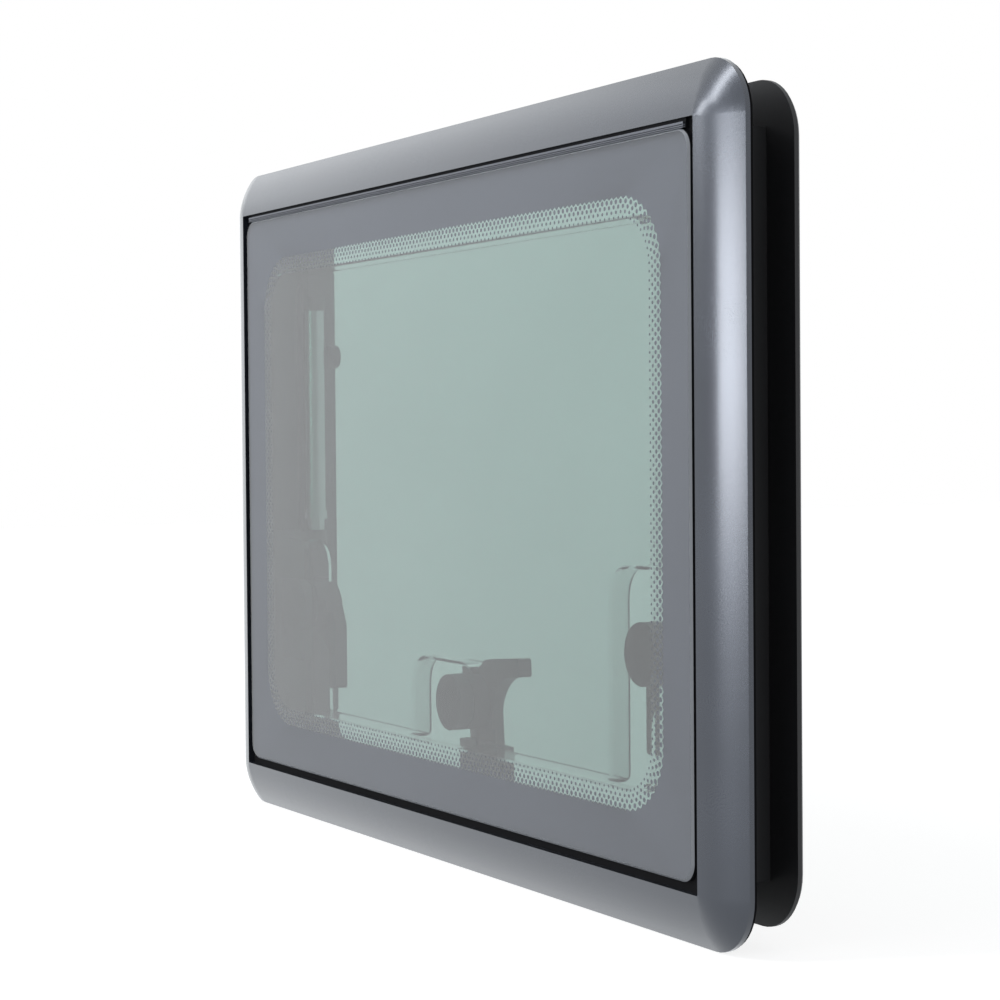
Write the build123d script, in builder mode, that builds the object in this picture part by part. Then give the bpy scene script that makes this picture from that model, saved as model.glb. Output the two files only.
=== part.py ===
"""Top-hung caravan window with a moulded outer frame, a double pane and a clamped inner trim."""
import os
from build123d import *

os.makedirs("parts", exist_ok=True)

# Millimetres. X runs right seen from outside, Y into the room, Z up.
# The origin is the middle of the wall cut-out, on the wall's outer skin.

# Outer frame: one moulded ring, its face falling from the opening to the outer edge
OPENING_W = 600
OPENING_H = 400
FACE_WIDTH = 30
FRONT_Y = -17
OPENING_CORNER = 1
FACE_SLOPE = 7
FLANGE_EDGE_Y = -5
FLANGE_BACK_Y = -2
LEDGE_Y = -9
SPIGOT_OUT = 1
SPIGOT_WALL = 2
SPIGOT_END_Y = 20.5

# Rubber: the strip under the flange and the ring behind the pane
GASKET_INSET = 1
GASKET_WIDTH = 22
SEAL_WIDTH = 16

# Panes
PANE_GAP = 5
PANE_T = 4
PANE_FRONT_Y = -16.5
PANE_CORNER = 11
PANE_EDGE = 1.2
SKIN_T = 2
SKIN_INSET = 13
SKIN_CORNER = 10
FIELD_INSET = 40
FIELD_DEPTH = 25
FIELD_CORNER = 18
MOUTH_CORNER = 5
FIELD_EDGE = 4
RECESS_RISE = 6
RECESS_W = 84
RECESS_ABOVE = 25
SIDE_RECESS_W = 93
SIDE_RECESS_ABOVE = 46

# Hinge along the top edge
HINGE_INSET = 5
LEAF_H = 3.1
LEAF_T = 2
GROOVE = 0.5
GROOVE_DEPTH = 1.2

# Latches, the two at the sides placed by a share of the pane's height; the lift is in degrees
HUB_R = 17.5
HUB_T = 9
HUB_EDGE = 1
LATCH_X = 4.5
LATCH_LIFT = 5
LATCH_RISE = 67
SIDE_LATCH_INSET = 63.3
SIDE_LATCH_SHARE = 0.292
POST_R = 9
LEVER_GAP = 0.4
LEVER_LENGTH = 58
LEVER_LOW = 14
LEVER_HIGH = 25.5
LEVER_CROOK = 28
LEVER_NECK = 18
LEVER_END_R = 2.5
SHOULDER = 13
SHOULDER_DROP = 6.5
HANDLE_Y = 14.5
LEVER_END_Y = 23.5
LOCK_W = 9
LOCK_RISE = 22
LOCK_T = 6
TONGUE_W = 38
TONGUE_REACH = 34
TONGUE_T = 4
BUTTON_R = 12
BUTTON_T = 3
CATCH_W = 58
CATCH_SHIFT = 13
CATCH_DROP = 25
CATCH_FRONT_Y = 11.5
CATCH_BACK_Y = 18.6

# Stays, hung by shares of the pane's height
STAY_INSET = 22
STAY_Y = 30.5
EYE_SHARE = 0.1525
TUBE_END_SHARE = 0.5385
TUBE_R = 7
COLLAR_R = 8
COLLAR_LENGTH = 6
NUT_R = 6
NUT_LENGTH = 8
EYE_R = 8
EYE_T = 10
FOOT_H = 14

# Inner trim and the four mitred liner members
TRIM_LAP = 22
TRIM_REVEAL = 16
TRIM_CORNER = 32
TRIM_OPEN_CORNER = 12
TRIM_FRONT_Y = 30.5
TRIM_BACK_Y = 35
TRIM_EDGE = 2
RIM_T = 3
RIM_END_Y = 52
LINER_T = 2.5
LINER_FRONT_Y = 4
STUD_R = 8.4
STUD_T = 6
STUD_SHARE = 0.25
STUD_OFF_RIM = 2

# Sizes that follow from those above
OUTER_W = OPENING_W + 2 * FACE_WIDTH
OUTER_H = OPENING_H + 2 * FACE_WIDTH
OUTER_CORNER = OPENING_CORNER + FACE_WIDTH
PANE_W = OPENING_W - 2 * PANE_GAP
PANE_H = OPENING_H - 2 * PANE_GAP
PANE_BACK_Y = PANE_FRONT_Y + PANE_T
PANE_TOP = PANE_H / 2
PANE_BOTTOM = -PANE_H / 2
PANE_SIDE = PANE_W / 2
SKIN_BACK_Y = PANE_BACK_Y + SKIN_T
RECESS_BACK_Y = SKIN_BACK_Y + RECESS_RISE
FIELD_BACK_Y = PANE_FRONT_Y + FIELD_DEPTH
SPIGOT_INNER_W = OPENING_W - 2 * (SPIGOT_OUT + SPIGOT_WALL)
SPIGOT_INNER_H = OPENING_H - 2 * (SPIGOT_OUT + SPIGOT_WALL)
HINGE_LENGTH = PANE_W - 2 * HINGE_INSET
HUB_BACK_Y = RECESS_BACK_Y + HUB_T
LEVER_Y = HUB_BACK_Y + LEVER_GAP
POST_END_Y = LEVER_END_Y - LEVER_GAP
STAY_X = PANE_SIDE - STAY_INSET
EYE_Z = PANE_TOP - EYE_SHARE * PANE_H
TUBE_BOTTOM_Z = PANE_TOP - TUBE_END_SHARE * PANE_H
COLLAR_BOTTOM_Z = TUBE_BOTTOM_Z - COLLAR_LENGTH
NUT_BOTTOM_Z = COLLAR_BOTTOM_Z - NUT_LENGTH
FOOT_Z = NUT_BOTTOM_Z - FOOT_H / 2
TRIM_W = OPENING_W + 2 * TRIM_LAP
TRIM_H = OPENING_H + 2 * TRIM_LAP
TRIM_OPEN_W = OPENING_W - 2 * TRIM_REVEAL
TRIM_OPEN_H = OPENING_H - 2 * TRIM_REVEAL
LINER_INNER_X = SPIGOT_INNER_W / 2 - LINER_T
LINER_INNER_Z = SPIGOT_INNER_H / 2 - LINER_T
LATCH_Z = PANE_BOTTOM + LATCH_RISE
SIDE_LATCH_X = PANE_SIDE - SIDE_LATCH_INSET
SIDE_LATCH_Z = PANE_BOTTOM + SIDE_LATCH_SHARE * PANE_H


def facing(y):
    """The plane at depth y, with X right and Z up, that extrudes into the room for negative amounts."""
    return Plane(origin=(0, y, 0), x_dir=(1, 0, 0), z_dir=(0, -1, 0))


def save(builder, name):
    builder.part.label = name
    export_step(builder.part, f"parts/{name}.step")


# Outer frame, its section swept round the opening
edge_x = OPENING_W / 2
edge_z = OPENING_H / 2
with BuildPart() as outer_frame:
    with BuildLine(Plane.XZ) as ring_path:
        FilletPolyline(
            (edge_x, edge_z),
            (-edge_x, edge_z),
            (-edge_x, -edge_z),
            (edge_x, -edge_z),
            radius=OPENING_CORNER,
            close=True,
        )
    with BuildSketch(Plane.XY):
        with BuildLine():
            face = TangentArc(
                (edge_x, FRONT_Y),
                (edge_x + FACE_WIDTH, FLANGE_EDGE_Y),
                tangent=Vector(1, 0).rotate(Axis.Z, FACE_SLOPE),
            )
            Polyline(
                face @ 1,
                (edge_x + FACE_WIDTH, FLANGE_BACK_Y),
                (edge_x - SPIGOT_OUT, FLANGE_BACK_Y),
                (edge_x - SPIGOT_OUT, SPIGOT_END_Y),
                (edge_x - SPIGOT_OUT - SPIGOT_WALL, SPIGOT_END_Y),
                (edge_x - SPIGOT_OUT - SPIGOT_WALL, LEDGE_Y),
                (edge_x, LEDGE_Y),
                face @ 0,
            )
        make_face()
    sweep(path=ring_path.wires()[0], transition=Transition.RIGHT)
save(outer_frame, "outer_frame")

# Flat rubber strip between the flange and the wall
gasket_w = OUTER_W - 2 * GASKET_INSET
gasket_h = OUTER_H - 2 * GASKET_INSET
with BuildPart() as wall_gasket:
    with BuildSketch(facing(FLANGE_BACK_Y)):
        RectangleRounded(gasket_w, gasket_h, OUTER_CORNER - GASKET_INSET)
        Rectangle(gasket_w - 2 * GASKET_WIDTH, gasket_h - 2 * GASKET_WIDTH, mode=Mode.SUBTRACT)
    extrude(amount=FLANGE_BACK_Y)
save(wall_gasket, "wall_gasket")

# Rubber ring on the frame's ledge, which the pane closes against
with BuildPart() as opening_seal:
    with BuildSketch(facing(PANE_BACK_Y)):
        RectangleRounded(OPENING_W, OPENING_H, OPENING_CORNER)
        Rectangle(OPENING_W - 2 * SEAL_WIDTH, OPENING_H - 2 * SEAL_WIDTH, mode=Mode.SUBTRACT)
    extrude(amount=PANE_BACK_Y - LEDGE_Y)
save(opening_seal, "opening_seal")

# Outer pane, a flat sheet with rounded corners and a ground front edge
with BuildPart() as outer_pane:
    with BuildSketch(facing(PANE_FRONT_Y)):
        RectangleRounded(PANE_W, PANE_H, PANE_CORNER)
    extrude(amount=-PANE_T)
    chamfer(outer_pane.faces().sort_by(Axis.Y)[0].edges(), PANE_EDGE)
save(outer_pane, "outer_pane")

# Inner pane, a vacuum-formed tray with shallower recesses for the latches
field_x = PANE_SIDE - FIELD_INSET
field_z = PANE_TOP - FIELD_INSET
side_x = PANE_SIDE - SIDE_RECESS_W
side_z = SIDE_LATCH_Z + SIDE_RECESS_ABOVE
recess_x = RECESS_W / 2
recess_z = LATCH_Z + RECESS_ABOVE
field_corners = [
    (-field_x, field_z),
    (field_x, field_z),
    (field_x, side_z),
    (side_x, side_z),
    (side_x, -field_z),
    (recess_x, -field_z),
    (recess_x, recess_z),
    (-recess_x, recess_z),
    (-recess_x, -field_z),
    (-side_x, -field_z),
    (-side_x, side_z),
    (-field_x, side_z),
]
with BuildSketch() as field_outline:
    with BuildLine():
        Polyline(*field_corners, close=True)
    make_face()
    mouth = field_outline.vertices().group_by(Axis.Y)[0]
    fillet(field_outline.vertices() - mouth, FIELD_CORNER)
    fillet(field_outline.vertices().group_by(Axis.Y)[0], MOUTH_CORNER)
with BuildPart() as inner_pane:
    with BuildSketch(facing(PANE_BACK_Y)):
        RectangleRounded(PANE_W - 2 * SKIN_INSET, PANE_H - 2 * SKIN_INSET, SKIN_CORNER)
    extrude(amount=-SKIN_T)
    with BuildSketch(facing(PANE_BACK_Y)):
        RectangleRounded(2 * field_x, 2 * field_z, FIELD_CORNER)
    extrude(amount=PANE_BACK_Y - RECESS_BACK_Y)
    with BuildSketch(facing(PANE_BACK_Y)):
        add(field_outline.sketch)
    extrude(amount=PANE_BACK_Y - FIELD_BACK_Y)
    fillet(inner_pane.faces().sort_by(Axis.Y)[-1].edges(), FIELD_EDGE)
    with BuildSketch(facing(PANE_BACK_Y)):
        RectangleRounded(2 * (field_x - SKIN_T), 2 * (field_z - SKIN_T), FIELD_CORNER - SKIN_T)
    extrude(amount=-RECESS_RISE, mode=Mode.SUBTRACT)
    with BuildSketch(facing(PANE_BACK_Y)):
        offset(field_outline.sketch, amount=-SKIN_T)
    extrude(amount=PANE_BACK_Y - FIELD_BACK_Y + SKIN_T, mode=Mode.SUBTRACT)
save(inner_pane, "inner_pane")

# Hinge: a grooved leaf on the pane's top edge and the rail behind it on the frame
with BuildPart() as hinge_leaf:
    with BuildSketch(Plane.YZ.offset(-HINGE_LENGTH / 2)):
        with Locations((PANE_FRONT_Y + LEAF_T / 2, PANE_TOP + LEAF_H / 2)):
            Rectangle(LEAF_T, LEAF_H)
        with Locations(
            (PANE_FRONT_Y, PANE_TOP + LEAF_H * 0.2),
            (PANE_FRONT_Y, PANE_TOP + LEAF_H * 0.53),
        ):
            Rectangle(2 * GROOVE_DEPTH, GROOVE, mode=Mode.SUBTRACT)
    extrude(amount=HINGE_LENGTH)
save(hinge_leaf, "hinge_leaf")
with BuildPart() as hinge_rail:
    with BuildSketch(Plane.YZ.offset(-HINGE_LENGTH / 2)):
        with Locations((PANE_FRONT_Y + LEAF_T * 1.5, PANE_TOP + PANE_GAP / 2)):
            Rectangle(LEAF_T, PANE_GAP)
    extrude(amount=HINGE_LENGTH)
save(hinge_rail, "hinge_rail")


def latch(tag, x, z, turn, lift, hand, reach):
    """One latch at (x, z). Turned 0 degrees, its tongue points down and its lever to the hand given."""

    def seat(y, angle=turn - hand * lift):
        return Plane(Location((x, 0, z), (0, angle, 0)) * Location(facing(y)))

    with BuildPart() as base:
        with BuildSketch(seat(RECESS_BACK_Y)):
            Circle(HUB_R)
        extrude(amount=-HUB_T)
        chamfer(base.edges().filter_by(GeomType.CIRCLE).sort_by(Axis.Y)[-1], HUB_EDGE)
        with BuildSketch(seat(HUB_BACK_Y)):
            Circle(POST_R)
        extrude(amount=HUB_BACK_Y - POST_END_Y)
    save(base, f"latch_base_{tag}")

    with BuildPart() as lever:
        with BuildSketch(seat(LEVER_Y)):
            Circle(HUB_R)
        extrude(amount=LEVER_Y - LEVER_END_Y)
        with BuildSketch(seat(HANDLE_Y)) as handle:
            with BuildLine():
                crook = TangentArc(
                    (hand * LEVER_NECK, LEVER_LOW - LEVER_CROOK),
                    (hand * (LEVER_NECK + LEVER_CROOK), LEVER_LOW),
                    tangent=(0, 1),
                )
                Polyline(
                    crook @ 1,
                    (hand * LEVER_LENGTH, LEVER_LOW),
                    (hand * LEVER_LENGTH, LEVER_HIGH),
                    (hand * SHOULDER, LEVER_HIGH),
                    (0, LEVER_HIGH - SHOULDER_DROP),
                    (-hand * HUB_R, 0),
                    (-hand * HUB_R, -HUB_R),
                    (hand * LEVER_NECK, -HUB_R),
                    crook @ 0,
                )
            make_face()
            fillet(handle.vertices().sort_by(Axis((0, 0, 0), (hand, 0, 0)))[-2:], LEVER_END_R)
        extrude(amount=HANDLE_Y - LEVER_END_Y)
        with BuildSketch(seat(LEVER_END_Y)):
            with Locations((0, -TONGUE_REACH / 2)):
                Rectangle(TONGUE_W, TONGUE_REACH)
        extrude(amount=TONGUE_T)
        with BuildSketch(seat(HANDLE_Y)):
            with Locations((0, LOCK_RISE / 2)):
                Rectangle(LOCK_W, LOCK_RISE)
        extrude(amount=LOCK_T)
        with BuildSketch(seat(LEVER_Y)):
            Circle(POST_R + LEVER_GAP)
        extrude(amount=LEVER_Y - LEVER_END_Y, mode=Mode.SUBTRACT)
    save(lever, f"latch_lever_{tag}")

    with BuildPart() as button:
        with BuildSketch(seat(LEVER_END_Y)):
            Circle(BUTTON_R)
        extrude(amount=-BUTTON_T)
    save(button, f"latch_button_{tag}")

    catch_h = reach - CATCH_DROP
    with BuildPart() as catch:
        with BuildSketch(seat(CATCH_FRONT_Y, turn)):
            with Locations((hand * CATCH_SHIFT, catch_h / 2 - reach)):
                Rectangle(CATCH_W, catch_h)
        extrude(amount=CATCH_FRONT_Y - CATCH_BACK_Y)
    save(catch, f"latch_catch_{tag}")


latch("bottom", LATCH_X, LATCH_Z, 0, LATCH_LIFT, 1, LINER_INNER_Z + LATCH_Z)
latch("right", SIDE_LATCH_X, SIDE_LATCH_Z, -90, 0, -1, LINER_INNER_X - SIDE_LATCH_X)
latch("left", -SIDE_LATCH_X, SIDE_LATCH_Z, 90, 0, 1, LINER_INNER_X - SIDE_LATCH_X)

# Stays: a tube on a bracket on the trim's rim, its rod on a foot on the inner pane
for tag, side in (("left", -1), ("right", 1)):
    with BuildPart() as bracket:
        with BuildSketch(Plane.XY.offset(EYE_Z - EYE_T / 2)):
            with Locations((side * (STAY_X + TRIM_OPEN_W / 2) / 2, STAY_Y)):
                Rectangle(TRIM_OPEN_W / 2 - STAY_X, EYE_T)
            with Locations((side * STAY_X, STAY_Y)):
                Circle(EYE_R)
        extrude(amount=EYE_T)
    save(bracket, f"stay_bracket_{tag}")

    with BuildPart() as tube:
        with BuildSketch(Plane.XY.offset(TUBE_BOTTOM_Z)):
            with Locations((side * STAY_X, STAY_Y)):
                Circle(TUBE_R)
        extrude(amount=EYE_Z - EYE_T / 2 - TUBE_BOTTOM_Z)
        with BuildSketch(Plane.XY.offset(COLLAR_BOTTOM_Z)):
            with Locations((side * STAY_X, STAY_Y)):
                Circle(COLLAR_R)
        extrude(amount=COLLAR_LENGTH)
    save(tube, f"stay_tube_{tag}")

    with BuildPart() as rod:
        with BuildSketch(Plane.XY.offset(NUT_BOTTOM_Z)):
            with Locations((side * STAY_X, STAY_Y)):
                RegularPolygon(NUT_R, 6)
        extrude(amount=NUT_LENGTH)
    save(rod, f"stay_rod_{tag}")

    with BuildPart() as foot:
        with BuildSketch(Plane.XY.offset(FOOT_Z - FOOT_H / 2)):
            with Locations((side * STAY_X, (SKIN_BACK_Y + STAY_Y) / 2)):
                Rectangle(NUT_R, STAY_Y - SKIN_BACK_Y)
            with Locations((side * STAY_X, STAY_Y)):
                Circle(EYE_R)
        extrude(amount=FOOT_H)
    save(foot, f"stay_foot_{tag}")

# Inner trim, a flat ring clamped against the room side of the wall, with a rim round its opening
with BuildPart() as inner_trim:
    with BuildSketch(facing(TRIM_FRONT_Y)):
        RectangleRounded(TRIM_W, TRIM_H, TRIM_CORNER)
    extrude(amount=TRIM_FRONT_Y - TRIM_BACK_Y)
    chamfer(inner_trim.faces().sort_by(Axis.Y)[-1].edges(), TRIM_EDGE)
    with BuildSketch(facing(TRIM_FRONT_Y)):
        RectangleRounded(TRIM_OPEN_W + 2 * RIM_T, TRIM_OPEN_H + 2 * RIM_T, TRIM_OPEN_CORNER + RIM_T)
    extrude(amount=TRIM_FRONT_Y - RIM_END_Y)
    with BuildSketch(facing(TRIM_FRONT_Y)):
        RectangleRounded(TRIM_OPEN_W, TRIM_OPEN_H, TRIM_OPEN_CORNER)
    extrude(amount=TRIM_FRONT_Y - RIM_END_Y, mode=Mode.SUBTRACT)
save(inner_trim, "inner_trim")

# Liner, four flat members mitred at the corners
liner_x = SPIGOT_INNER_W / 2
liner_z = SPIGOT_INNER_H / 2
top_left = ((-liner_x, liner_z), (-LINER_INNER_X, LINER_INNER_Z))
top_right = ((liner_x, liner_z), (LINER_INNER_X, LINER_INNER_Z))
bottom_left = ((-liner_x, -liner_z), (-LINER_INNER_X, -LINER_INNER_Z))
bottom_right = ((liner_x, -liner_z), (LINER_INNER_X, -LINER_INNER_Z))
mitres = {
    "top": (top_left, top_right),
    "bottom": (bottom_left, bottom_right),
    "left": (bottom_left, top_left),
    "right": (bottom_right, top_right),
}
for tag, ((out_a, in_a), (out_b, in_b)) in mitres.items():
    with BuildPart() as liner:
        with BuildSketch(facing(LINER_FRONT_Y)):
            with BuildLine():
                Polyline(out_a, out_b, in_b, in_a, close=True)
            make_face()
        extrude(amount=LINER_FRONT_Y - TRIM_FRONT_Y)
    save(liner, f"liner_{tag}")

# Rounded studs that stand off the inside of the rim
stud_z = PANE_TOP - STUD_SHARE * PANE_H
for tag, side in (("left", -1), ("right", 1)):
    with BuildPart() as stud:
        with BuildSketch(facing(RIM_END_Y)):
            with Locations((side * (TRIM_OPEN_W / 2 - STUD_OFF_RIM), stud_z)):
                Circle(STUD_R)
            with Locations((side * (TRIM_OPEN_W / 2 + STUD_R), stud_z)):
                Rectangle(2 * STUD_R, 2 * STUD_R, mode=Mode.SUBTRACT)
        extrude(amount=STUD_T)
    save(stud, f"trim_stud_{tag}")
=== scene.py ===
import bpy
import math
from mathutils import Matrix, Vector


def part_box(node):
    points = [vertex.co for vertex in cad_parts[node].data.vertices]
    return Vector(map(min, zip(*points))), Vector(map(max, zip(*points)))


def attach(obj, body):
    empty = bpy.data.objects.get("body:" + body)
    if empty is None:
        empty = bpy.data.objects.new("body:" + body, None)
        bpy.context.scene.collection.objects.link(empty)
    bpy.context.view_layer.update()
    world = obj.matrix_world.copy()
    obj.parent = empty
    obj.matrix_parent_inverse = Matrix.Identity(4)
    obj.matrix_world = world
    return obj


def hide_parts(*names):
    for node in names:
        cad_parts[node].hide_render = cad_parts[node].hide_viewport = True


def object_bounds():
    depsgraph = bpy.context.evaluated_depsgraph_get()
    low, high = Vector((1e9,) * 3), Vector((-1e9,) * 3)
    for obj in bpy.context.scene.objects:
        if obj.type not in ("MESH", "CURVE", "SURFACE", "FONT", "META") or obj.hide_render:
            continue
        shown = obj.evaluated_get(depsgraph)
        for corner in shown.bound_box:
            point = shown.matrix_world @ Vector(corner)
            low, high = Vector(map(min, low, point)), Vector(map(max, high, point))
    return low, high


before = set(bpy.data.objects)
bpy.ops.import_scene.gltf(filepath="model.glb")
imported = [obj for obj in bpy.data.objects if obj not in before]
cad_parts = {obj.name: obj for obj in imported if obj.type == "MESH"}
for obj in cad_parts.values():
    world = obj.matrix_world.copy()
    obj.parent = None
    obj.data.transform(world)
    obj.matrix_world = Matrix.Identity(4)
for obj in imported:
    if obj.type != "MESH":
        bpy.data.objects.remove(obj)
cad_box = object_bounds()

# View: the camera stands out to the right and looks back along the pane at a shallow angle,
# so the pane is seen edge-on enough to show the trim and the wall slot behind it.
camera_place = Vector((1.32411, -0.68549, 0.03526))
camera_turn = math.radians(61.542)
camera_pitch = math.radians(-1.441)
camera_roll = math.radians(-0.471)
ahead = Vector((
    -math.sin(camera_turn) * math.cos(camera_pitch),
    math.cos(camera_turn) * math.cos(camera_pitch),
    math.sin(camera_pitch),
))
level_right = Vector((math.cos(camera_turn), math.sin(camera_turn), 0.0))
level_up = level_right.cross(ahead)
camera_right = math.cos(camera_roll) * level_right + math.sin(camera_roll) * level_up
camera_up = math.cos(camera_roll) * level_up - math.sin(camera_roll) * level_right
camera_axes = Matrix((camera_right, camera_up, -ahead)).transposed().to_4x4()
camera_data = bpy.data.cameras.new("photo_camera")
camera_data.sensor_width = 36.0
camera_data.lens = 85.8
camera_data.clip_start = 0.01
camera = bpy.data.objects.new("photo_camera", camera_data)
camera.matrix_world = Matrix.Translation(camera_place) @ camera_axes
bpy.context.scene.collection.objects.link(camera)
bpy.context.scene.camera = camera
bpy.context.scene.view_settings.view_transform = "Standard"

# Outer frame: one ring of moulded, hollow section with a curved face, sprayed a satin metallic
# blue-grey. Its flange lies on the wall's skin and its spigot goes through the cut-out.


def moulded_grain():
    """Node group: fine grain and broad unevenness that colour, roughness and height all follow."""
    group = bpy.data.node_groups.new("moulded_grain", "ShaderNodeTree")
    sockets = group.interface
    sockets.new_socket("Colour", in_out="INPUT", socket_type="NodeSocketColor")
    for label in ("Grain Scale", "Colour Shift", "Roughness", "Roughness Shift"):
        sockets.new_socket(label, in_out="INPUT", socket_type="NodeSocketFloat")
    sockets.new_socket("Colour", in_out="OUTPUT", socket_type="NodeSocketColor")
    sockets.new_socket("Roughness", in_out="OUTPUT", socket_type="NodeSocketFloat")
    sockets.new_socket("Height", in_out="OUTPUT", socket_type="NodeSocketFloat")
    nodes, links = group.nodes, group.links
    given = nodes.new("NodeGroupInput")
    result = nodes.new("NodeGroupOutput")
    place = nodes.new("ShaderNodeTexCoord")
    grain = nodes.new("ShaderNodeTexNoise")
    grain.inputs["Detail"].default_value = 3.0
    links.new(place.outputs["Object"], grain.inputs["Vector"])
    links.new(given.outputs["Grain Scale"], grain.inputs["Scale"])
    broad = nodes.new("ShaderNodeTexNoise")
    broad.inputs["Scale"].default_value = 18.0
    links.new(place.outputs["Object"], broad.inputs["Vector"])
    both = nodes.new("ShaderNodeMath")
    both.operation = "ADD"
    links.new(grain.outputs["Fac"], both.inputs[0])
    links.new(broad.outputs["Fac"], both.inputs[1])
    swing = nodes.new("ShaderNodeMath")
    swing.operation = "SUBTRACT"
    swing.inputs[1].default_value = 1.0
    links.new(both.outputs[0], swing.inputs[0])
    shade = nodes.new("ShaderNodeMath")
    shade.operation = "MULTIPLY_ADD"
    shade.inputs[2].default_value = 1.0
    links.new(swing.outputs[0], shade.inputs[0])
    links.new(given.outputs["Colour Shift"], shade.inputs[1])
    tone = nodes.new("ShaderNodeVectorMath")
    tone.operation = "SCALE"
    links.new(given.outputs["Colour"], tone.inputs[0])
    links.new(shade.outputs[0], tone.inputs["Scale"])
    matt = nodes.new("ShaderNodeMath")
    matt.operation = "MULTIPLY_ADD"
    links.new(swing.outputs[0], matt.inputs[0])
    links.new(given.outputs["Roughness Shift"], matt.inputs[1])
    links.new(given.outputs["Roughness"], matt.inputs[2])
    links.new(tone.outputs["Vector"], result.inputs["Colour"])
    links.new(matt.outputs[0], result.inputs["Roughness"])
    links.new(grain.outputs["Fac"], result.inputs["Height"])
    return group


GRAIN = moulded_grain()


def grained_finish(name, colour, grain_scale, colour_shift, roughness, roughness_shift, bump_depth, fixed=()):
    """A material with the moulded grain all over it, and fixed values on the shader's own sockets."""
    material = bpy.data.materials.new(name)
    material.use_nodes = True
    nodes, links = material.node_tree.nodes, material.node_tree.links
    shader = nodes["Principled BSDF"]
    grain = nodes.new("ShaderNodeGroup")
    grain.node_tree = GRAIN
    grain.inputs["Colour"].default_value = (*colour, 1.0)
    grain.inputs["Grain Scale"].default_value = grain_scale
    grain.inputs["Colour Shift"].default_value = colour_shift
    grain.inputs["Roughness"].default_value = roughness
    grain.inputs["Roughness Shift"].default_value = roughness_shift
    bump = nodes.new("ShaderNodeBump")
    bump.inputs["Distance"].default_value = bump_depth
    links.new(grain.outputs["Height"], bump.inputs["Height"])
    links.new(grain.outputs["Colour"], shader.inputs["Base Color"])
    links.new(grain.outputs["Roughness"], shader.inputs["Roughness"])
    links.new(bump.outputs["Normal"], shader.inputs["Normal"])
    for label, value in fixed:
        shader.inputs[label].default_value = value
    return material


def dress(material, *names):
    """Puts the material on every slot of the CAD parts named."""
    for name in names:
        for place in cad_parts[name].material_slots:
            place.material = material


frame_paint = grained_finish(
    "frame_paint",
    colour=(0.044, 0.051, 0.068),
    grain_scale=2600.0,
    colour_shift=0.22,
    roughness=0.26,
    roughness_shift=0.1,
    bump_depth=0.000008,
    fixed=(("Metallic", 0.6), ("Coat Weight", 1.0), ("Coat Roughness", 0.22)),
)
dress(frame_paint, "outer_frame")

# Rubber: a flat strip under the flange that seals it to the wall, and a ring on the frame's ledge
# that the pane closes against. Both are black extruded rubber, pressed in place.
rubber = grained_finish(
    "rubber",
    colour=(0.009, 0.009, 0.01),
    grain_scale=900.0,
    colour_shift=0.3,
    roughness=0.72,
    roughness_shift=0.12,
    bump_depth=0.00006,
    fixed=(("Specular IOR Level", 0.06),),
)
dress(rubber, "wall_gasket", "opening_seal")

# Outer pane: a flat clear sheet, cut with rounded corners, with a pale green film on its back.
# It hangs from the hinge along its top edge.


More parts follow.
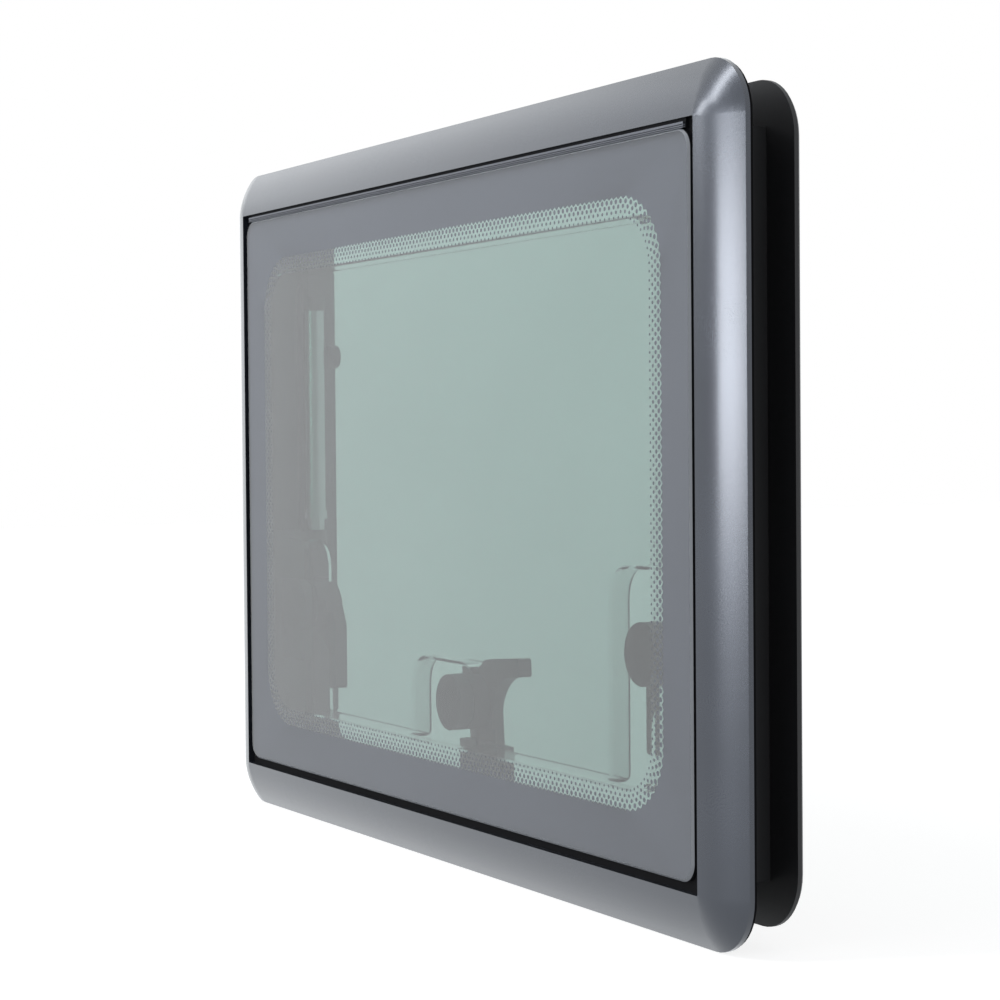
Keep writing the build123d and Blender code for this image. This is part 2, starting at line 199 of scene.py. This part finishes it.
def clear_sheet(name, outer_tint, inner_tint, split_y, index):
    """Clear sheet with one tint on the faces before a depth and another, a little cloudy, behind it; painted
    shade darkens both towards the bottom.
    """
    material = bpy.data.materials.new(name)
    material.use_nodes = True
    nodes, links = material.node_tree.nodes, material.node_tree.links
    shader = nodes["Principled BSDF"]
    shader.inputs["Transmission Weight"].default_value = 1.0
    shader.inputs["IOR"].default_value = index
    where = nodes.new("ShaderNodeTexCoord")
    depth = nodes.new("ShaderNodeSeparateXYZ")
    links.new(where.outputs["Object"], depth.inputs["Vector"])
    behind = nodes.new("ShaderNodeMath")
    behind.operation = "GREATER_THAN"
    behind.inputs[1].default_value = split_y
    links.new(depth.outputs["Y"], behind.inputs[0])
    tint = nodes.new("ShaderNodeMix")
    tint.data_type = "RGBA"
    tint.inputs["A"].default_value = (*outer_tint, 1.0)
    tint.inputs["B"].default_value = (*inner_tint, 1.0)
    links.new(behind.outputs[0], tint.inputs["Factor"])
    cloud = nodes.new("ShaderNodeTexNoise")
    cloud.inputs["Scale"].default_value = 7.0
    links.new(where.outputs["Object"], cloud.inputs["Vector"])
    patchy = nodes.new("ShaderNodeMapRange")
    patchy.inputs["To Min"].default_value = 0.96
    patchy.inputs["To Max"].default_value = 1.04
    links.new(cloud.outputs["Fac"], patchy.inputs["Value"])
    # Painted shade: the sheet's tint darkens from full at the top to 0.88 at the bottom.
    painted_shade_by_height = nodes.new("ShaderNodeMapRange")
    painted_shade_by_height.inputs["From Min"].default_value = -0.2
    painted_shade_by_height.inputs["From Max"].default_value = 0.2
    painted_shade_by_height.inputs["To Min"].default_value = 0.88
    painted_shade_by_height.inputs["To Max"].default_value = 1.0
    links.new(depth.outputs["Z"], painted_shade_by_height.inputs["Value"])
    cloud_and_painted_shade = nodes.new("ShaderNodeMath")
    cloud_and_painted_shade.operation = "MULTIPLY"
    links.new(patchy.outputs["Result"], cloud_and_painted_shade.inputs[0])
    links.new(painted_shade_by_height.outputs["Result"], cloud_and_painted_shade.inputs[1])
    sheet = nodes.new("ShaderNodeVectorMath")
    sheet.operation = "SCALE"
    links.new(tint.outputs["Result"], sheet.inputs[0])
    links.new(cloud_and_painted_shade.outputs[0], sheet.inputs["Scale"])
    links.new(sheet.outputs["Vector"], shader.inputs["Base Color"])
    smear = nodes.new("ShaderNodeTexNoise")
    smear.inputs["Scale"].default_value = 30.0
    links.new(where.outputs["Object"], smear.inputs["Vector"])
    haze = nodes.new("ShaderNodeMapRange")
    haze.inputs["To Min"].default_value = 0.0
    haze.inputs["To Max"].default_value = 0.03
    links.new(smear.outputs["Fac"], haze.inputs["Value"])
    links.new(haze.outputs["Result"], shader.inputs["Roughness"])
    rays = nodes.new("ShaderNodeLightPath")
    passing = nodes.new("ShaderNodeMath")
    passing.operation = "MAXIMUM"
    links.new(rays.outputs["Is Shadow Ray"], passing.inputs[0])
    links.new(rays.outputs["Is Diffuse Ray"], passing.inputs[1])
    through = nodes.new("ShaderNodeBsdfTransparent")
    links.new(sheet.outputs["Vector"], through.inputs["Color"])
    choose = nodes.new("ShaderNodeMixShader")
    links.new(passing.outputs[0], choose.inputs[0])
    links.new(shader.outputs["BSDF"], choose.inputs[1])
    links.new(through.outputs["BSDF"], choose.inputs[2])
    links.new(choose.outputs["Shader"], nodes["Material Output"].inputs["Surface"])
    return material


pane_low, pane_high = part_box("outer_pane")
pane_middle_y = (pane_low.y + pane_high.y) / 2
pane_sheet = clear_sheet(
    "pane_sheet",
    outer_tint=(0.95, 0.97, 0.97),
    inner_tint=(0.071, 0.157, 0.123),
    split_y=pane_middle_y,
    index=1.75,
)
dress(pane_sheet, "outer_pane")

# Printed border: black ink on the back of the pane, solid at the edge and breaking up inward
# into four rows of shrinking dots. It hides the seal and the edge of the inner pane.
MM = 0.001
PRINT_DEPTH = 0.06 * MM
PRINT_MARGIN = 0.4 * MM
PRINT_EDGE_CORNER = 10.6 * MM
SOLID_INSET = 29.8 * MM
CORNER_CENTRE = 69.0 * MM
DOT_PITCH = 4.77 * MM
DOT_ROWS = ((31.8 * MM, 1.4 * MM), (34.6 * MM, 1.2 * MM), (37.5 * MM, 1.0 * MM), (40.4 * MM, 0.8 * MM))
DOT_SIDES = 10
CORNER_DOTS = 11
half_w = (pane_high.x - pane_low.x) / 2
half_h = (pane_high.z - pane_low.z) / 2
print_y = pane_high.y - PRINT_DEPTH


def border_line(inset, corner, straight_steps, corner_steps):
    """Points and outward directions round a rounded rectangle that lies inside the pane's edge."""
    reach_x = half_w - inset - corner
    reach_z = half_h - inset - corner
    line = []
    corners = ((1, 1, 0.0), (-1, 1, 90.0), (-1, -1, 180.0), (1, -1, 270.0))
    for index, (sign_x, sign_z, start) in enumerate(corners):
        centre = Vector((sign_x * reach_x, 0.0, sign_z * reach_z))
        for step in range(corner_steps):
            angle = math.radians(start + 90.0 * step / corner_steps)
            out = Vector((math.cos(angle), 0.0, math.sin(angle)))
            line.append((centre + corner * out, out))
        next_x, next_z, _ = corners[(index + 1) % 4]
        far = Vector((next_x * reach_x, 0.0, next_z * reach_z))
        angle = math.radians(start + 90.0)
        out = Vector((math.cos(angle), 0.0, math.sin(angle)))
        steps = straight_steps[index % 2]
        for step in range(steps):
            line.append((centre.lerp(far, step / steps) + corner * out, out))
    return line


long_dots = round(2.0 * (half_w - CORNER_CENTRE) / DOT_PITCH)
short_dots = round(2.0 * (half_h - CORNER_CENTRE) / DOT_PITCH)
points = []
faces = []
for row, (inset, radius) in enumerate(DOT_ROWS):
    line = border_line(inset, CORNER_CENTRE - inset, (2 * long_dots, 2 * short_dots), 2 * CORNER_DOTS)
    for place, _ in line[row % 2::2]:
        first = len(points)
        for side in range(DOT_SIDES):
            angle = 2.0 * math.pi * side / DOT_SIDES
            points.append((
                place.x + radius * math.cos(angle),
                print_y,
                place.z + radius * math.sin(angle),
            ))
        faces.append(tuple(range(first, first + DOT_SIDES)))

# The solid part of the border, its inner edge scalloped to the pitch of the dots.
SCALLOP = 0.8 * MM
SCALLOP_STEPS = 8
straight_steps = (SCALLOP_STEPS * long_dots, SCALLOP_STEPS * short_dots)
corner_steps = SCALLOP_STEPS * CORNER_DOTS
outer_line = border_line(PRINT_MARGIN, PRINT_EDGE_CORNER, straight_steps, corner_steps)
inner_line = border_line(SOLID_INSET, CORNER_CENTRE - SOLID_INSET, straight_steps, corner_steps)
first = len(points)
count = len(outer_line)
for index, ((edge, _), (inside, out)) in enumerate(zip(outer_line, inner_line)):
    scalloped = inside + SCALLOP * math.cos(2.0 * math.pi * index / SCALLOP_STEPS) * out
    points.append((edge.x, print_y, edge.z))
    points.append((scalloped.x, print_y, scalloped.z))
for index in range(count):
    after = (index + 1) % count
    faces.append((
        first + 2 * index,
        first + 2 * after,
        first + 2 * after + 1,
        first + 2 * index + 1,
    ))
print_mesh = bpy.data.meshes.new("printed_border")
print_mesh.from_pydata(points, [], faces)
print_mesh.update()
printed_border = bpy.data.objects.new("printed_border", print_mesh)
bpy.context.scene.collection.objects.link(printed_border)
ink = grained_finish(
    "border_ink",
    colour=(0.078, 0.087, 0.116),
    grain_scale=900.0,
    colour_shift=0.03,
    roughness=0.5,
    roughness_shift=0.05,
    bump_depth=0.000002,
)
print_mesh.materials.append(ink)
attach(printed_border, "window")

# Pane edge: a pale, fine matt strip on the sheet's front bevel is a painted highlight where the edge catches
# the light, and a black butyl seal is run round the rim behind it to close the edge of the double pane.
EDGE_LIFT = 0.03 * MM
EDGE_CORNER = 11.0 * MM
EDGE_STEPS = 14
BEVEL = 1.2 * MM


def edge_band(name, material, front, back):
    """A thin band round the pane between two lines, each an inset from the pane's side and a depth."""
    points = []
    for inset, y in (front, back):
        for place, _ in border_line(inset, EDGE_CORNER - inset, (1, 1), EDGE_STEPS):
            points.append((place.x, y, place.z))
    count = len(points) // 2
    faces = []
    for index in range(count):
        after = (index + 1) % count
        faces.append((index, after, count + after, count + index))
    mesh = bpy.data.meshes.new(name)
    mesh.from_pydata(points, [], faces)
    mesh.update()
    mesh.materials.append(material)
    band = bpy.data.objects.new(name, mesh)
    bpy.context.scene.collection.objects.link(band)
    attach(band, "window")


# Painted highlight: a pale grey, grainy finish on the front bevel stands in for the light the pane's edge
# catches.
edge_highlight_paint = grained_finish(
    "painted_edge_highlight",
    colour=(0.29, 0.305, 0.33),
    grain_scale=1500.0,
    colour_shift=0.3,
    roughness=0.4,
    roughness_shift=0.1,
    bump_depth=0.00001,
)
edge_band("painted_edge_highlight", edge_highlight_paint, (BEVEL, pane_low.y - EDGE_LIFT), (-EDGE_LIFT, pane_low.y + BEVEL))
butyl = grained_finish(
    "butyl",
    colour=(0.014, 0.014, 0.016),
    grain_scale=500.0,
    colour_shift=0.3,
    roughness=0.6,
    roughness_shift=0.1,
    bump_depth=0.00004,
    fixed=(("Specular IOR Level", 0.2),),
)
edge_band("edge_seal", butyl, (-EDGE_LIFT, pane_low.y + BEVEL), (-EDGE_LIFT, pane_high.y))

# Inner pane: a thinner clear sheet, vacuum-formed into a shallow tray that stands into the room,
# with bays let into it for the three latches. It is bonded to the back of the outer pane.
BOND_FILM = 0.05 * MM
TRAY_SHEET = 3.5 * MM
tray_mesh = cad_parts["inner_pane"].data.copy()
tray_mesh.name = "formed_tray"
tray_low, tray_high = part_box("inner_pane")
for vertex in tray_mesh.vertices:
    if vertex.co.y < tray_low.y + BOND_FILM:
        vertex.co.y += BOND_FILM
formed_tray = bpy.data.objects.new("formed_tray", tray_mesh)
bpy.context.scene.collection.objects.link(formed_tray)
tray_mesh.materials.clear()
tray_sheet = clear_sheet(
    "tray_sheet",
    outer_tint=(0.98, 0.99, 0.985),
    inner_tint=(0.86, 0.89, 0.88),
    split_y=tray_high.y - TRAY_SHEET,
    index=1.1,
)
tray_mesh.materials.append(tray_sheet)
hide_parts("inner_pane")
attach(formed_tray, "window")

# Hinge: an anodised, grooved leaf bonded to the pane's top edge, and a black powder-coated rail
# fixed to the frame behind it. Both are extruded aluminium.
hinge_metal = grained_finish(
    "hinge_metal",
    colour=(0.155, 0.162, 0.185),
    grain_scale=1200.0,
    colour_shift=0.15,
    roughness=0.38,
    roughness_shift=0.1,
    bump_depth=0.00002,
    fixed=(("Metallic", 0.7),),
)
dress(hinge_metal, "hinge_leaf")
rail_coat = grained_finish(
    "rail_coat",
    colour=(0.012, 0.012, 0.014),
    grain_scale=1100.0,
    colour_shift=0.25,
    roughness=0.7,
    roughness_shift=0.12,
    bump_depth=0.00005,
    fixed=(("Specular IOR Level", 0.15),),
)
dress(rail_coat, "hinge_rail")

# Latches: a round base screwed through the inner pane, a lever that turns on its post, a cap on
# the lever and a catch on the liner. All are injection-moulded in black, fine-textured plastic.
black_plastic = grained_finish(
    "black_plastic",
    colour=(0.03, 0.031, 0.034),
    grain_scale=1800.0,
    colour_shift=0.2,
    roughness=0.5,
    roughness_shift=0.12,
    bump_depth=0.00004,
)
for place in ("bottom", "left", "right"):
    dress(
        black_plastic,
        f"latch_base_{place}",
        f"latch_lever_{place}",
        f"latch_button_{place}",
        f"latch_catch_{place}",
    )

# Stays: a bright drawn tube on each side slides over a rod and holds the window open.
# The bracket above and the foot below are black plastic.
stay_metal = grained_finish(
    "stay_metal",
    colour=(0.86, 0.87, 0.87),
    grain_scale=700.0,
    colour_shift=0.06,
    roughness=0.3,
    roughness_shift=0.08,
    bump_depth=0.00001,
    fixed=(("Metallic", 0.5),),
)
for side in ("left", "right"):
    dress(stay_metal, f"stay_tube_{side}", f"stay_rod_{side}")
    dress(black_plastic, f"stay_bracket_{side}", f"stay_foot_{side}")

# Inner trim: a flat black ring, injection-moulded with a fine texture, that clamps the wall
# from the room side. The round black studs on its rim stand into the opening.
trim_plastic = grained_finish(
    "trim_plastic",
    colour=(0.02, 0.02, 0.022),
    grain_scale=1500.0,
    colour_shift=0.2,
    roughness=0.48,
    roughness_shift=0.12,
    bump_depth=0.00004,
)
dress(trim_plastic, "inner_trim")
dress(black_plastic, "trim_stud_left", "trim_stud_right")

# Trim screws: blackened pan heads with a cross recess, driven through the trim's flat ring
# to draw it up to the outer frame. They stand on the ring's room face.
TRIM_FACE_DEPTH = 35.0 * MM
SCREW_LINE = 17.0 * MM
SCREWS_ACROSS = 6
SCREWS_DOWN = 4
HEAD_SIDES = 32
# The head's rings give a radius and a rise in millimetres. The recess's rings give a share of its
# width and a rise.
HEAD_RINGS = ((4.1, 0.0), (4.05, 0.55), (3.6, 1.15), (2.9, 1.5), (2.3, 1.62))
RECESS_WAIST = 0.85
RECESS_LOBE = 1.95
RECESS_RINGS = ((1.0, 1.62), (0.84, 0.5))


def screw_head(points, faces, x, z):
    """Adds one pan head with a cross recess at (x, z), standing into the room."""
    first = len(points)
    rings = [(radius, radius, rise) for radius, rise in HEAD_RINGS]
    rings += [(share * RECESS_WAIST, share * RECESS_LOBE, rise) for share, rise in RECESS_RINGS]
    for inner, outer, rise in rings:
        y = TRIM_FACE_DEPTH + rise * MM
        for side in range(HEAD_SIDES):
            angle = 2.0 * math.pi * side / HEAD_SIDES
            arm = max(0.0, math.cos(4.0 * angle)) ** 0.5
            radius = (inner + (outer - inner) * arm) * MM
            points.append((x + radius * math.cos(angle), y, z + radius * math.sin(angle)))
    for ring in range(len(rings) - 1):
        for side in range(HEAD_SIDES):
            here = first + ring * HEAD_SIDES
            after = (side + 1) % HEAD_SIDES
            faces.append((here + side, here + HEAD_SIDES + side, here + HEAD_SIDES + after, here + after))
    last = first + (len(rings) - 1) * HEAD_SIDES
    faces.append(tuple(last + side for side in reversed(range(HEAD_SIDES))))


trim_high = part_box("inner_trim")[1]
screw_x = trim_high.x - SCREW_LINE
screw_z = trim_high.z - SCREW_LINE
points = []
faces = []
for index in range(SCREWS_ACROSS):
    x = screw_x * (2.0 * (index + 0.5) / SCREWS_ACROSS - 1.0)
    for side in (-1, 1):
        screw_head(points, faces, x, side * screw_z)
for index in range(SCREWS_DOWN):
    z = screw_z * (2.0 * (index + 0.5) / SCREWS_DOWN - 1.0)
    for side in (-1, 1):
        screw_head(points, faces, side * screw_x, z)
screw_mesh = bpy.data.meshes.new("trim_screws")
screw_mesh.from_pydata(points, [], faces)
screw_mesh.update()
for face in screw_mesh.polygons:
    face.use_smooth = True
trim_screws = bpy.data.objects.new("trim_screws", screw_mesh)
bpy.context.scene.collection.objects.link(trim_screws)
screw_finish = grained_finish(
    "screw_finish",
    colour=(0.05, 0.05, 0.054),
    grain_scale=1600.0,
    colour_shift=0.2,
    roughness=0.34,
    roughness_shift=0.1,
    bump_depth=0.00001,
    fixed=(("Metallic", 0.85),),
)
screw_mesh.materials.append(screw_finish)
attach(trim_screws, "window")

# Liner: four flat members, mitred at the corners and powder-coated black, that carry the trim
# and line the cut-out between it and the outer frame.
liner_coat = grained_finish(
    "liner_coat",
    colour=(0.022, 0.022, 0.024),
    grain_scale=1100.0,
    colour_shift=0.25,
    roughness=0.55,
    roughness_shift=0.12,
    bump_depth=0.00005,
)
dress(liner_coat, "liner_top", "liner_bottom", "liner_left", "liner_right")

# Floor: a sheet of pale paper just under the frame. It keeps the window's shadow, and shows the
# studio's white to the camera and in the frame and panes.
FLOOR_SIZE = 6.0
FLOOR_GAP = 0.5 * MM
PAPER_LIFT = 0.84
STUDIO_WHITE = (0.95, 0.978, 1.0, 1.0)
floor_z = cad_box[0][2] - FLOOR_GAP
floor_mesh = bpy.data.meshes.new("studio_floor")
floor_mesh.from_pydata(
    [
        (-FLOOR_SIZE, -FLOOR_SIZE, floor_z),
        (FLOOR_SIZE, -FLOOR_SIZE, floor_z),
        (FLOOR_SIZE, FLOOR_SIZE, floor_z),
        (-FLOOR_SIZE, FLOOR_SIZE, floor_z),
    ],
    [],
    [(0, 1, 2, 3)],
)
studio_floor = bpy.data.objects.new("studio_floor", floor_mesh)
bpy.context.scene.collection.objects.link(studio_floor)
floor_paper = bpy.data.materials.new("floor_paper")
floor_paper.use_nodes = True
paper_nodes, paper_links = floor_paper.node_tree.nodes, floor_paper.node_tree.links
paper = paper_nodes["Principled BSDF"]
paper.inputs["Base Color"].default_value = (0.38, 0.38, 0.38, 1.0)
paper.inputs["Roughness"].default_value = 0.9
paper.inputs["Emission Color"].default_value = (1.0, 1.0, 1.0, 1.0)
seen_by = paper_nodes.new("ShaderNodeLightPath")
lift = paper_nodes.new("ShaderNodeMath")
lift.operation = "MULTIPLY"
lift.inputs[1].default_value = PAPER_LIFT
paper_links.new(seen_by.outputs["Is Camera Ray"], lift.inputs[0])
paper_links.new(lift.outputs[0], paper.inputs["Emission Strength"])
in_glass = paper_nodes.new("ShaderNodeMath")
in_glass.operation = "MAXIMUM"
paper_links.new(seen_by.outputs["Is Glossy Ray"], in_glass.inputs[0])
paper_links.new(seen_by.outputs["Is Transmission Ray"], in_glass.inputs[1])
backdrop = paper_nodes.new("ShaderNodeEmission")
backdrop.inputs["Color"].default_value = STUDIO_WHITE
floor_or_backdrop = paper_nodes.new("ShaderNodeMixShader")
paper_links.new(in_glass.outputs[0], floor_or_backdrop.inputs[0])
paper_links.new(paper.outputs["BSDF"], floor_or_backdrop.inputs[1])
paper_links.new(backdrop.outputs["Emission"], floor_or_backdrop.inputs[2])
paper_links.new(floor_or_backdrop.outputs["Shader"], paper_nodes["Material Output"].inputs["Surface"])
floor_mesh.materials.append(floor_paper)

# Lamps: one soft lamp stands in front and one at the front left. A high strip lights the frame's
# top right corner, and a lamp high on the far left lights the top member. All are a little cool.
LAMP_COLOUR = (0.96, 0.98, 1.0)


def soft_lamp(name, place, target, width, height, power):
    """A soft oblong lamp at a place, turned to face a target."""
    data = bpy.data.lights.new(name, "AREA")
    data.shape = "RECTANGLE"
    data.size = width
    data.size_y = height
    data.energy = power
    data.color = LAMP_COLOUR
    lamp = bpy.data.objects.new(name, data)
    lamp.location = place
    lamp.rotation_euler = (Vector(target) - Vector(place)).to_track_quat("-Z", "Y").to_euler()
    bpy.context.scene.collection.objects.link(lamp)


soft_lamp("front_lamp", (0.33, -3.0, 0.22), (0.0, 0.0, 0.1), width=1.33, height=0.6, power=28.0)
soft_lamp("top_lamp", (-0.35, -1.54, 1.6), (0.305, 0.0, 0.205), width=0.4, height=1.5, power=17.0)
soft_lamp("corner_lamp", (-1.45, -2.6, 1.1), (0.0, 0.0, 0.0), width=0.5, height=0.8, power=11.0)
soft_lamp("side_lamp", (-2.4, -0.6, 1.25), (0.0, 0.0, 0.0), width=1.8, height=1.1, power=2.2)

# Studio: white all round to the camera, in reflections and through the panes, and a weak even
# light on everything else.
STUDIO_FILL = 0.3
studio = bpy.data.worlds.new("studio")
studio.use_nodes = True
bpy.context.scene.world = studio
studio_nodes, studio_links = studio.node_tree.nodes, studio.node_tree.links
surround = studio_nodes["Background"]
sky_rays = studio_nodes.new("ShaderNodeLightPath")
sky_colour = studio_nodes.new("ShaderNodeMix")
sky_colour.data_type = "RGBA"
sky_colour.inputs["A"].default_value = STUDIO_WHITE
sky_colour.inputs["B"].default_value = (1.0, 1.0, 1.0, 1.0)
studio_links.new(sky_rays.outputs["Is Camera Ray"], sky_colour.inputs["Factor"])
studio_links.new(sky_colour.outputs["Result"], surround.inputs["Color"])
sky_seen = studio_nodes.new("ShaderNodeMath")
sky_seen.operation = "MAXIMUM"
studio_links.new(sky_rays.outputs["Is Camera Ray"], sky_seen.inputs[0])
studio_links.new(sky_rays.outputs["Is Glossy Ray"], sky_seen.inputs[1])
sky_through = studio_nodes.new("ShaderNodeMath")
sky_through.operation = "MAXIMUM"
studio_links.new(sky_seen.outputs[0], sky_through.inputs[0])
studio_links.new(sky_rays.outputs["Is Transmission Ray"], sky_through.inputs[1])
sky_level = studio_nodes.new("ShaderNodeMapRange")
sky_level.inputs["To Min"].default_value = STUDIO_FILL
sky_level.inputs["To Max"].default_value = 1.0
studio_links.new(sky_through.outputs[0], sky_level.inputs["Value"])
studio_links.new(sky_level.outputs["Result"], surround.inputs["Strength"])
